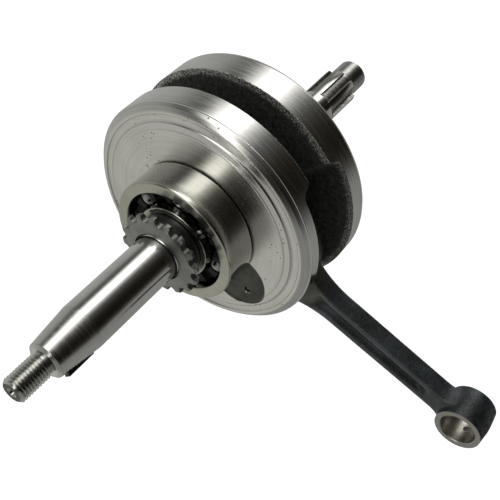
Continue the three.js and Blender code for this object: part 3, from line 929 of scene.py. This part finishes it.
def left_surface(centre, normal):
    """Which material the left half has at a face."""
    x, y, z = centre
    r = math.hypot(x, z)
    if y > -WEB_FACE - 0.01:
        if abs(normal[1]) > 0.25 and y > -(WEB_FACE - 5.0) and normal[1] > 0:
            return WEB_FORGED
        if y > -(RELIEF_FACE + 0.3) and r < WEB_RADIUS - 0.2:
            return WEB_FORGED
        return WEB_GROUND if r > WEB_RADIUS - 0.62 else WEB_TURNED
    if y < -(LEFT_END - 0.01) and r > 2.2:
        return SHAFT_END
    if y < -(LEFT_THREAD_START - 3.3):
        return THREAD
    if y < -TAPER_START and r > 7.4:
        return TAPER_GROUND
    if r < SHOULDER + 0.2 and y < -(WEB_FACE + 0.01):
        return SHAFT_GROUND
    return WEB_TURNED


def right_surface(centre, normal):
    """Which material the right half has at a face."""
    x, y, z = centre
    r = math.hypot(x, z)
    if y < WEB_FACE + 0.01:
        if y < RELIEF_FACE + 0.3 and (r < WEB_RADIUS - 0.2 or normal[1] < -0.25):
            return WEB_FORGED
        return WEB_GROUND if r > WEB_RADIUS - 0.62 else WEB_TURNED
    if y > SPLINE_END - 0.3:
        return THREAD
    if y > SPLINE_START - SPLINE_RUNOUT and r < SPLINE_RADIUS - 0.12:
        return GROOVE
    return SHAFT_GROUND


left_half = crank_half(-1, "crank_half_left_finished", left_shaft())
boolean(left_half, "DIFFERENCE", key_slot())
turn(weld(left_half), PIN_ANGLE)
finish_mesh(assign(left_half, crank_finish, left_surface), 50)
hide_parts("crank_half_left")
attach(left_half, "crank")

right_half = crank_half(1, "crank_half_right_finished", right_shaft())
turn(weld(right_half), PIN_ANGLE)
finish_mesh(assign(right_half, crank_finish, right_surface), 50)
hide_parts("crank_half_right")
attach(right_half, "crank")

# ---- Crank pin, plug and big-end bearing ----


def crank_pin():
    """The pin with its oil gallery, open at the left end."""
    end = WEB_FACE - PIN_RECESS
    pin = turned("crank_pin_finished", rounded([
        (0.01, -end), (PIN_RADIUS - 0.5, -end), (PIN_RADIUS, -end + 0.5),
        (PIN_RADIUS, end - 0.5), (PIN_RADIUS - 0.5, end), (0.01, end)], 0.15, 2), 160, THROW)
    gallery = rod_bar("gallery", GALLERY_RADIUS, (THROW + GALLERY_OFFSET, -end - 1, 0),
                      (THROW + GALLERY_OFFSET, 18.0, 0), 40)
    countersink = turned("sink", [(0.01, -end - 0.4), (GALLERY_RADIUS + 0.8, -end - 0.4),
                                  (GALLERY_RADIUS - 0.2, -end + 0.6), (0.01, -end + 0.6)],
                         40, THROW + GALLERY_OFFSET)
    boolean(pin, "DIFFERENCE", gallery, countersink)
    turn(weld(pin), PIN_ANGLE)

    def surface(centre, normal):
        return 1 if abs(normal[1]) > 0.9 and abs(centre[1]) > 20 else 0

    return assign(pin, [bore_steel, pin_face_painted_shade], surface)


pin = finish_mesh(crank_pin())
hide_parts("crank_pin")
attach(pin, "crank")

plug_radius = GALLERY_RADIUS - PRESS_GAP
plug_place = (THROW + GALLERY_OFFSET, -WEB_FACE + PIN_RECESS + 1 + plug_radius, 0)
plug = ball_mesh("oil_gallery_plug_finished", plug_radius, plug_place, 32, 20)
plain(turn(plug, PIN_ANGLE), balls_painted_shade)
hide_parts("oil_gallery_plug")
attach(plug, "crank")

needle_outline = rounded(disc(NEEDLE_RADIUS, -NEEDLE_LENGTH / 2, NEEDLE_LENGTH / 2), 0.4, 3)
for number in range(NEEDLE_COUNT):
    angle = 2 * math.pi * number / NEEDLE_COUNT
    needle = turned(f"big_end_needle_{number + 1}_finished", needle_outline, 28,
                    THROW + NEEDLE_PITCH * math.cos(angle), -NEEDLE_PITCH * math.sin(angle))
    plain(turn(needle, PIN_ANGLE), balls_painted_shade)
    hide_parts(f"big_end_needle_{number + 1}")
    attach(needle, "needle_set")

for side, name in ((-1, "left"), (1, "right")):
    near = side * (BIG_HALF + WASHER_GAP)
    far = side * (BIG_HALF + WASHER_GAP + WASHER_THICKNESS)
    section = rounded(ring_section(WASHER_BORE, WASHER_RADIUS, near, far), 0.2, 2, True)
    washer = turned(f"thrust_washer_{name}_finished", section, 128, THROW, 0, True)
    plain(turn(washer, PIN_ANGLE), washer_metal)
    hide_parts(f"thrust_washer_{name}")
    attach(washer, f"washer_{name}")

cage_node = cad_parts["big_end_needle_cage"]
cage_node.data.materials.clear()
cage_node.data.materials.append(washer_metal)

# ---- Connecting rod ----


def shank_half(x):
    """Half height of the shank at the parting line, blended into both ends."""
    root, tip = 7.0, 6.35
    big_fillet, small_fillet = 44.0, 14.0
    start = math.sqrt((BIG_RADIUS + big_fillet) ** 2 - (root + big_fillet) ** 2)
    end = ROD_LENGTH - math.sqrt((SMALL_RADIUS + small_fillet) ** 2 - (tip + small_fillet) ** 2)
    if x < start:
        return root + big_fillet - math.sqrt(max(0.0, big_fillet ** 2 - (start - x) ** 2))
    if x > end:
        return tip + small_fillet - math.sqrt(max(0.0, small_fillet ** 2 - (x - end) ** 2))
    return root + (tip - root) * (x - start) / (end - start)


def shank_section(x):
    """Right half of the drafted I-section, as (y, z) pairs from the top down."""
    half = shank_half(x)
    recess_from, recess_to = BIG_RADIUS + 6.5, ROD_LENGTH - SMALL_RADIUS - 7.0
    share = min(1.0, max(0.0, (x - recess_from) / 8.0), max(0.0, (recess_to - x) / 8.0))
    share = share * share * (3 - 2 * share)
    face, web = SHANK_FACE, SHANK_FACE - (SHANK_FACE - SHANK_WEB) * share
    top = half - 0.75
    flange = max(top - 2.7, 0.8)
    return [(0.0, half), (face - 1.7, half - 0.35), (face - 0.45, top), (face, top - 0.7),
            (face, flange + 0.6), (face - 0.5 * share, flange), (web + 0.7 * share, flange - 1.1 * share),
            (web, flange - 2.0 * share)]


def rod_rows():
    """Sections of the shank, from inside the big end to inside the small end."""
    rows = []
    for x in np.linspace(BIG_RADIUS * 0.75, ROD_LENGTH - SMALL_RADIUS * 0.6, 110):
        side = shank_section(x)
        lower = [(y, -z) for y, z in reversed(side)]
        right = side + lower
        left = [(-y, z) for y, z in reversed(right)][1:-1]
        rows.append([(x, y, z) for y, z in right + left])
    return rows


def drafted_eye(name, radius, face_radius, flat, half, sides, x):
    """Forged eye, widest at its parting line and smaller at its faces."""
    outline = [(0.01, -half), (face_radius, -half), (radius, -flat),
               (radius, flat), (face_radius, half), (0.01, half)]
    return turned(name, rounded(outline, 0.6, 2), sides, x)


def facing_tools(x, reach, half):
    """Cutters that leave an eye flat at both faces."""
    return [turned("facing", disc(reach, side * half, side * (half + 8)), 64, x) for side in (-1, 1)]


def connecting_rod():
    """The rod with its big end at the origin and its small end towards +X."""
    rod = grid_solid("connecting_rod_finished", rod_rows(), False)
    big = drafted_eye("big", BIG_RADIUS, BIG_RADIUS - 0.9, 2.5, 13.5, 160, 0)
    small = drafted_eye("small", SMALL_RADIUS, SMALL_FACE_RADIUS - 0.18, 1.2, 11.0, 128, ROD_LENGTH)
    boolean(rod, "UNION", big, small)
    remesh = rod.modifiers.new("remesh", "REMESH")
    remesh.mode = "VOXEL"
    remesh.voxel_size = 0.55 * MM
    remesh.use_smooth_shade = True
    smooth = rod.modifiers.new("smooth", "SMOOTH")
    smooth.factor = 0.5
    smooth.iterations = 7
    apply_modifiers(rod)

    tools = facing_tools(0, BIG_RADIUS + 4, BIG_HALF)
    tools += facing_tools(ROD_LENGTH, SMALL_RADIUS + 3, SMALL_HALF)
    tools.append(rod_bar("big_bore", BIG_BORE, (0, -20, 0), (0, 20, 0), 160))
    outside, inside = SMALL_HALF + 2, SMALL_HALF - 0.4
    small_bore = [(0.01, -outside), (SMALL_BORE + 2.4, -outside), (SMALL_BORE, -inside),
                  (SMALL_BORE, inside), (SMALL_BORE + 2.4, outside), (0.01, outside)]
    tools.append(turned("small_bore", small_bore, 128, ROD_LENGTH))
    hole_angle = math.radians(OIL_HOLE_ANGLE)
    tools.append(rod_bar("oil_hole", OIL_HOLE_RADIUS, (ROD_LENGTH, 0, 0),
                         (ROD_LENGTH + 20 * math.cos(hole_angle), 0, 20 * math.sin(hole_angle)), 32))
    boolean(rod, "DIFFERENCE", *tools)
    return weld(rod)


def rod_surface(centre, normal):
    """Index of the rod's material at a face: forged, faced, bored, or the small end's rough flat."""
    x, y, z = centre
    if abs(normal[1]) > 0.96:
        if math.hypot(x, z) < BIG_RADIUS + 2 and abs(y) > BIG_HALF - 0.05:
            return 1
        if math.hypot(x - ROD_LENGTH, z) < SMALL_RADIUS + 3 and abs(y) > SMALL_HALF - 0.05:
            return 1
    if math.hypot(x, z) < BIG_BORE + 0.05 or math.hypot(x - ROD_LENGTH, z) < SMALL_BORE + 0.42:
        return 2
    if math.hypot(x - ROD_LENGTH, z) > SMALL_RADIUS * 0.8 and x > ROD_LENGTH + 6.2 and 0 < z < 9.5:
        return 3
    return 0


rod = connecting_rod()
assign(rod, [rod_black, rod_ground, bore_steel, rod_scab], rod_surface)
turn(rod, ROD_ANGLE, PIN_X, PIN_Z)
finish_mesh(rod, 40)
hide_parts("connecting_rod")
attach(rod, "rod")

# ---- Main bearing ----


def groove(side, land):
    """Ball track on one side of the ball circle, from the front edge to the back."""
    depth = abs(BALL_PITCH - land)
    edge = math.acos(depth / GROOVE_RADIUS)
    return [(BALL_PITCH - side * GROOVE_RADIUS * math.cos(a), GROOVE_RADIUS * math.sin(a))
            for a in np.linspace(edge, -edge, 25)]


def at_bearing(outline):
    """The outline moved to the bearing's place on the shaft."""
    return [(r, y - BEARING_MIDDLE) for r, y in outline]


half_width = (BEARING_FRONT - BEARING_BACK) / 2
outer_land, inner_land = BEARING_OUTER - OUTER_RING, JOURNAL + INNER_RING


def outer_ring_surface(centre, normal):
    """Index of the outer ring's material: ground outside, face, or track."""
    if math.hypot(centre[0], centre[2]) > BEARING_OUTER - 0.05:
        return 0
    return 1 if abs(centre[1] + BEARING_MIDDLE) > half_width - 1.2 else 2


def inner_ring_surface(centre, normal):
    return 1 if abs(centre[1] + BEARING_MIDDLE) > half_width - 0.9 else 0


outer_outline = (
    rounded(ring_section(outer_land, BEARING_OUTER, -half_width, half_width), 1.0, 5, True)
    + groove(-1, outer_land)
)
outer_ring = turned("main_bearing_outer_ring_finished", at_bearing(outer_outline), 224, 0, 0, True)
finish_mesh(assign(outer_ring, [bearing_od, bearing_face, race_steel], outer_ring_surface))
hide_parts("main_bearing_outer_ring")
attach(outer_ring, "main_bearing_outer")

bore = JOURNAL + PRESS_GAP
inner_outline = (
    groove(1, inner_land)
    + rounded([(inner_land, -half_width), (bore, -half_width), (bore, half_width), (inner_land, half_width)],
              0.6, 4, True)
)
inner_ring = turned("main_bearing_inner_ring_finished", at_bearing(inner_outline), 160, 0, 0, True)
finish_mesh(assign(inner_ring, [race_steel, bearing_face], inner_ring_surface))
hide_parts("main_bearing_inner_ring")
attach(inner_ring, "crank")


def ball_place(number):
    angle = math.radians(BALL_ANGLE) + 2 * math.pi * number / BALL_COUNT
    return BALL_PITCH * math.cos(angle), -BEARING_MIDDLE, BALL_PITCH * math.sin(angle)


for number in range(BALL_COUNT):
    ball = ball_mesh(f"main_bearing_ball_{number + 1}_finished", BALL_RADIUS, ball_place(number))
    plain(ball, balls_painted_shade)
    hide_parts(f"main_bearing_ball_{number + 1}")
    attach(ball, "ball_set")


def ball_cage():
    """Snap cage: a ring with a round pocket at each ball and a scallop between each two."""
    section = ring_section(BALL_PITCH - CAGE_HALF, BALL_PITCH + CAGE_HALF, -CAGE_FRONT, CAGE_BACK)
    section = rounded(section, 0.4, 3, True)
    scallop_y = -BEARING_MIDDLE - SCALLOP_OFFSET
    cage = turned("main_bearing_ball_cage_finished", at_bearing(section), 196, 0, 0, True)
    pockets = []
    for i in range(BALL_COUNT):
        a = math.radians(BALL_ANGLE) + 2 * math.pi * i / BALL_COUNT
        between = a + math.pi / BALL_COUNT
        outside = (40 * math.cos(between), scallop_y, 40 * math.sin(between))
        pockets.append(rod_bar("scallop", SCALLOP_RADIUS, (0, scallop_y, 0), outside, 40))
        pockets.append(ball_mesh("pocket", POCKET_RADIUS, ball_place(i), 40, 28))
    return weld(boolean(cage, "DIFFERENCE", *pockets))


cage = plain(ball_cage(), cage_black_and_shade)
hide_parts("main_bearing_ball_cage")
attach(cage, "ball_set")

# ---- Sprocket and key ----


def tooth_outline():
    """Round roller seats with the flanks opening towards narrow tips."""
    pitch_radius = CHAIN_PITCH / 2 / math.sin(math.pi / TOOTH_COUNT)
    step = 2 * math.pi / TOOTH_COUNT
    points = []
    for i in range(TOOTH_COUNT):
        middle = math.radians(TOOTH_ANGLE) + i * step
        seat = middle + step / 2
        for share, drop in ((-0.17, 0.22), (-0.12, 0.0), (0.12, 0.0), (0.17, 0.22)):
            r = TOOTH_TIP - drop
            points.append((r * math.cos(middle + step * share), r * math.sin(middle + step * share)))
        cx, cz = pitch_radius * math.cos(seat), pitch_radius * math.sin(seat)
        for t in np.linspace(0, 1, 11):
            a = seat - math.pi / 2 - math.pi * t
            points.append((cx + ROLLER_SEAT * math.cos(a), cz + ROLLER_SEAT * math.sin(a)))
    return points


def sprocket():
    """Toothed plate with chamfered teeth, on a turned boss."""
    plate = prism("cam_chain_sprocket_finished", tooth_outline(), -TOOTH_FRONT, -TOOTH_BACK)
    taper = turned("taper", [(25, -TOOTH_FRONT - 1), (19.6, -TOOTH_FRONT), (20.9, -TOOTH_FRONT + 0.8),
                             (20.9, -TOOTH_BACK - 0.8), (19.6, -TOOTH_BACK), (25, -TOOTH_BACK + 1)],
                   128, 0, 0, True)
    boolean(plate, "DIFFERENCE", taper)
    foot = -TOOTH_BACK - 1
    hub = turned("hub", rounded([
        (0.01, -SPROCKET_BACK), (HUB_BACK_RADIUS, -SPROCKET_BACK), (HUB_BACK_RADIUS, foot),
        (HUB_FOOT_RADIUS, foot), (HUB_FOOT_RADIUS, -TOOTH_FRONT), (HUB_FRONT_RADIUS, -HUB_FRONT),
        (0.01, -HUB_FRONT)], 0.35, 3), 160)
    bore_tool = turned("bore", disc(SPROCKET_SEAT + PRESS_GAP, -HUB_FRONT - 1, -SPROCKET_BACK + 1), 128)
    boolean(plate, "UNION", hub)
    boolean(plate, "DIFFERENCE", bore_tool)
    return weld(plate)


def sprocket_surface(centre, normal):
    """Index of the sprocket's material: toothed plate, or boss."""
    return 1 if centre[1] > -TOOTH_BACK + 0.02 else 0


chain_sprocket = finish_mesh(assign(sprocket(), [sprocket_grey, sprocket_hub], sprocket_surface))
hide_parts("cam_chain_sprocket")
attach(chain_sprocket, "crank")


def woodruff_key():
    """Half-moon key, flat on top."""
    reach = math.acos((KEY_TOP - KEY_CENTRE) / KEY_RADIUS)
    arc = [(KEY_CENTRE + KEY_RADIUS * math.cos(a), -KEY_PLACE + KEY_RADIUS * math.sin(a))
           for a in np.linspace(reach, 2 * math.pi - reach, 60)]
    key = across("flywheel_key_finished", arc, -KEY_HALF, KEY_HALF)
    bevel = key.modifiers.new("bevel", "BEVEL")
    bevel.width = 0.2 * MM
    bevel.segments = 3
    bevel.limit_method = "ANGLE"
    bevel.angle_limit = math.radians(40)
    apply_modifiers(key)
    return turn(key, PIN_ANGLE)


key = plain(woodruff_key(), key_painted_shade)
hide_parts("flywheel_key")
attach(key, "crank")

# ---- Studio ----


# Brightness of the light round the crank axis, by degrees from +X towards +Z
LIGHT_STOPS = [
    (-180, 0.48), (-140, 0.50), (-116, 0.34), (-90, 0.30), (-55, 0.34), (-20, 0.30), (-9, 0.10),
    (0, 0.03), (14, 0.012), (32, 0.016), (46, 0.034), (58, 0.075), (67, 0.15), (75, 0.5), (82, 1.1),
    (89, 2.6), (107, 2.6), (113, 1.5), (119, 0.7), (125, 0.16), (133, 0.13), (141, 0.19),
    (150, 0.36), (160, 0.45), (180, 0.48),
]
LIGHT_STRENGTH = 3.0
WARM, COOL = (1.0, 0.86, 0.66), (1.0, 1.0, 0.985)
FRONT_LIGHT = (-0.46, -0.62, -0.63)
FLOOR_GAP = 0.03


def studio_light():
    """Soft boxes as a plain gradient round the crank axis, and a grey lift from the front."""
    world = bpy.data.worlds.new("studio")
    bpy.context.scene.world = world
    world.use_nodes = True
    g = Graph(world.node_tree, "Generated")
    share = g.math("MULTIPLY_ADD", g.math("ARCTAN2", g.z, g.x), 1 / (2 * math.pi), 0.5)
    ramp = g.add("ShaderNodeValToRGB", share)
    while len(ramp.color_ramp.elements) < len(LIGHT_STOPS):
        ramp.color_ramp.elements.new(0.5)
    for element, (degrees, value) in zip(ramp.color_ramp.elements, LIGHT_STOPS):
        element.position = (degrees + 180) / 360
        element.color = share_of(WARM if value < 0.05 else COOL, value / LIGHT_STRENGTH)
    towards = g.add("ShaderNodeVectorMath", g.coordinate, operation="DOT_PRODUCT")
    towards.inputs[1].default_value = Vector(FRONT_LIGHT).normalized()
    front = g.remap(towards.outputs["Value"], 0.55, 0.95)
    lit = g.mix(front, ramp.outputs[0], rgb(0.215, 0.215, 0.205))
    seen = g.add("ShaderNodeLightPath").outputs["Is Camera Ray"]
    background = g.tree.nodes["Background"]
    g.feed(background.inputs[0], g.mix(seen, lit, rgb(0.32, 0.32, 0.32)))
    background.inputs[1].default_value = LIGHT_STRENGTH


def studio_floor():
    """Pale glowing floor below the lowest point, unseen in reflections."""
    low = cad_box[0][2]
    size = 6.0
    mesh = bpy.data.meshes.new("floor")
    corners = [(-size, -size, low), (size, -size, low), (size, size, low), (-size, size, low)]
    mesh.from_pydata(corners, [], [(0, 1, 2, 3)])
    floor = add_object("floor", mesh)
    floor.location.z = -FLOOR_GAP
    n = Nodes("floor_paint")
    cloud = n.noise(n.coordinate, 3, 2, 0.5)
    base = n.mix(cloud, rgb(0.16, 0.16, 0.16), rgb(0.18, 0.18, 0.18))
    material = n.finish(base, 0.8, None, 0.0)
    n.shader.inputs["Emission Color"].default_value = rgb(1, 1, 1)
    n.shader.inputs["Emission Strength"].default_value = 0.95
    mesh.materials.append(material)
    floor.visible_glossy = False


studio_light()
studio_floor()
bpy.context.scene.view_settings.view_transform = "Standard"
